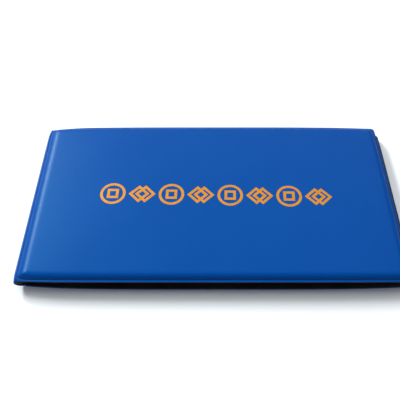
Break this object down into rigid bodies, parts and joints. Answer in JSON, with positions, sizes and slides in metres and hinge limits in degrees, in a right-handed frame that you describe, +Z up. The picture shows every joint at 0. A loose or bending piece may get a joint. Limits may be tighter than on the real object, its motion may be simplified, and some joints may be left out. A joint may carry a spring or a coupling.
{
  "type": "banknote album",
  "caption": "Padded welded vinyl pocket album with a soft rounded spine, clear pocket leaves and black cards; the cover opens flat and the leaves fan.",
  "frame": {"origin": "on the surface the closed album lies on, under the middle of its outline", "axes": "+X from the spine to the fore-edge, +Y from the tail to the head of the covers, +Z up, out of the front cover"},
  "size_m": [0.2082, 0.106, 0.0121],
  "materials": {
    "cover_vinyl": "satin",
    "lining_vinyl": "matte",
    "pad_foam": "matte",
    "cover_board": "matte",
    "gold_foil": "satin",
    "binding_vinyl": "matte",
    "clear_film": "gloss",
    "seam_vinyl": "satin",
    "black_card": "matte"
  },
  "bodies": {
    "back_cover": {"back_outer_skin": "cover_vinyl", "back_foam_pad": "pad_foam", "back_board": "cover_board", "back_lining": "lining_vinyl"},
    "spine": {"spine_outer_skin": "cover_vinyl", "spine_foam_strip": "pad_foam", "spine_lining": "lining_vinyl", "binding_strip": "binding_vinyl", "leaf_margins": "binding_vinyl", "margin_spacers": "binding_vinyl"},
    "front_cover": {"front_outer_skin": "cover_vinyl", "front_foam_pad": "pad_foam", "front_board": "cover_board", "front_lining": "lining_vinyl", "foil_stamp": "gold_foil"},
    "leaf_01": {"leaf_01_back_film": "clear_film", "leaf_01_front_film": "clear_film", "leaf_01_seams": "seam_vinyl", "leaf_01_card": "black_card"},
    "leaf_02": {"leaf_02_back_film": "clear_film", "leaf_02_front_film": "clear_film", "leaf_02_seams": "seam_vinyl", "leaf_02_card": "black_card"},
    "leaf_03": {"leaf_03_back_film": "clear_film", "leaf_03_front_film": "clear_film", "leaf_03_seams": "seam_vinyl", "leaf_03_card": "black_card"},
    "leaf_04": {"leaf_04_back_film": "clear_film", "leaf_04_front_film": "clear_film", "leaf_04_seams": "seam_vinyl", "leaf_04_card": "black_card"},
    "leaf_05": {"leaf_05_back_film": "clear_film", "leaf_05_front_film": "clear_film", "leaf_05_seams": "seam_vinyl", "leaf_05_card": "black_card"},
    "leaf_06": {"leaf_06_back_film": "clear_film", "leaf_06_front_film": "clear_film", "leaf_06_seams": "seam_vinyl", "leaf_06_card": "black_card"},
    "leaf_07": {"leaf_07_back_film": "clear_film", "leaf_07_front_film": "clear_film", "leaf_07_seams": "seam_vinyl", "leaf_07_card": "black_card"},
    "leaf_08": {"leaf_08_back_film": "clear_film", "leaf_08_front_film": "clear_film", "leaf_08_seams": "seam_vinyl", "leaf_08_card": "black_card"},
    "leaf_09": {"leaf_09_back_film": "clear_film", "leaf_09_front_film": "clear_film", "leaf_09_seams": "seam_vinyl", "leaf_09_card": "black_card"},
    "leaf_10": {"leaf_10_back_film": "clear_film", "leaf_10_front_film": "clear_film", "leaf_10_seams": "seam_vinyl", "leaf_10_card": "black_card"}
  },
  "joints": [
    {"name": "cover_hinge", "type": "hinge", "parent": "spine", "child": "front_cover", "pos_m": [-0.10293, 0, 0.0091], "axis": [0, -1, 0], "range_deg": [0, 123.25]},
    {"name": "spine_hinge", "type": "hinge", "parent": "back_cover", "child": "spine", "pos_m": [-0.09893, 0, 0.003], "axis": [0, -1, 0], "range_deg": [0, 56.75]},
    {"name": "leaf_01_hinge", "type": "hinge", "parent": "spine", "child": "leaf_01", "pos_m": [-0.0961, 0, 0.0083], "axis": [0, -1, 0], "range_deg": [0, 99.25]},
    {"name": "leaf_02_hinge", "type": "hinge", "parent": "spine", "child": "leaf_02", "pos_m": [-0.09577, 0, 0.0078], "axis": [0, -1, 0], "range_deg": [0, 84.59]},
    {"name": "leaf_03_hinge", "type": "hinge", "parent": "spine", "child": "leaf_03", "pos_m": [-0.09544, 0, 0.0073], "axis": [0, -1, 0], "range_deg": [0, 69.92]},
    {"name": "leaf_04_hinge", "type": "hinge", "parent": "spine", "child": "leaf_04", "pos_m": [-0.09511, 0, 0.0068], "axis": [0, -1, 0], "range_deg": [0, 55.25]},
    {"name": "leaf_05_hinge", "type": "hinge", "parent": "spine", "child": "leaf_05", "pos_m": [-0.09479, 0, 0.0063], "axis": [0, -1, 0], "range_deg": [0, 40.59]},
    {"name": "leaf_06_hinge", "type": "hinge", "parent": "spine", "child": "leaf_06", "pos_m": [-0.09446, 0, 0.0058], "axis": [0, -1, 0], "range_deg": [0, 25.92]},
    {"name": "leaf_07_hinge", "type": "hinge", "parent": "spine", "child": "leaf_07", "pos_m": [-0.09413, 0, 0.0053], "axis": [0, -1, 0], "range_deg": [0, 11.25]},
    {"name": "leaf_08_hinge", "type": "hinge", "parent": "spine", "child": "leaf_08", "pos_m": [-0.0938, 0, 0.0048], "axis": [0, -1, 0], "range_deg": [-3.41, 0]},
    {"name": "leaf_09_hinge", "type": "hinge", "parent": "spine", "child": "leaf_09", "pos_m": [-0.09347, 0, 0.0043], "axis": [0, -1, 0], "range_deg": [-18.08, 0]},
    {"name": "leaf_10_hinge", "type": "hinge", "parent": "spine", "child": "leaf_10", "pos_m": [-0.09315, 0, 0.0038], "axis": [0, -1, 0], "range_deg": [-32.75, 0]}
  ],
  "couplings": [
    {"joint": "spine_hinge", "follows": "cover_hinge", "ratio": 0.4604},
    {"joint": "leaf_01_hinge", "follows": "cover_hinge", "ratio": 0.80528},
    {"joint": "leaf_02_hinge", "follows": "cover_hinge", "ratio": 0.68629},
    {"joint": "leaf_03_hinge", "follows": "cover_hinge", "ratio": 0.56729},
    {"joint": "leaf_04_hinge", "follows": "cover_hinge", "ratio": 0.44829},
    {"joint": "leaf_05_hinge", "follows": "cover_hinge", "ratio": 0.3293},
    {"joint": "leaf_06_hinge", "follows": "cover_hinge", "ratio": 0.2103},
    {"joint": "leaf_07_hinge", "follows": "cover_hinge", "ratio": 0.091307},
    {"joint": "leaf_08_hinge", "follows": "cover_hinge", "ratio": -0.027682},
    {"joint": "leaf_09_hinge", "follows": "cover_hinge", "ratio": -0.14668},
    {"joint": "leaf_10_hinge", "follows": "cover_hinge", "ratio": -0.26568}
  ]
}
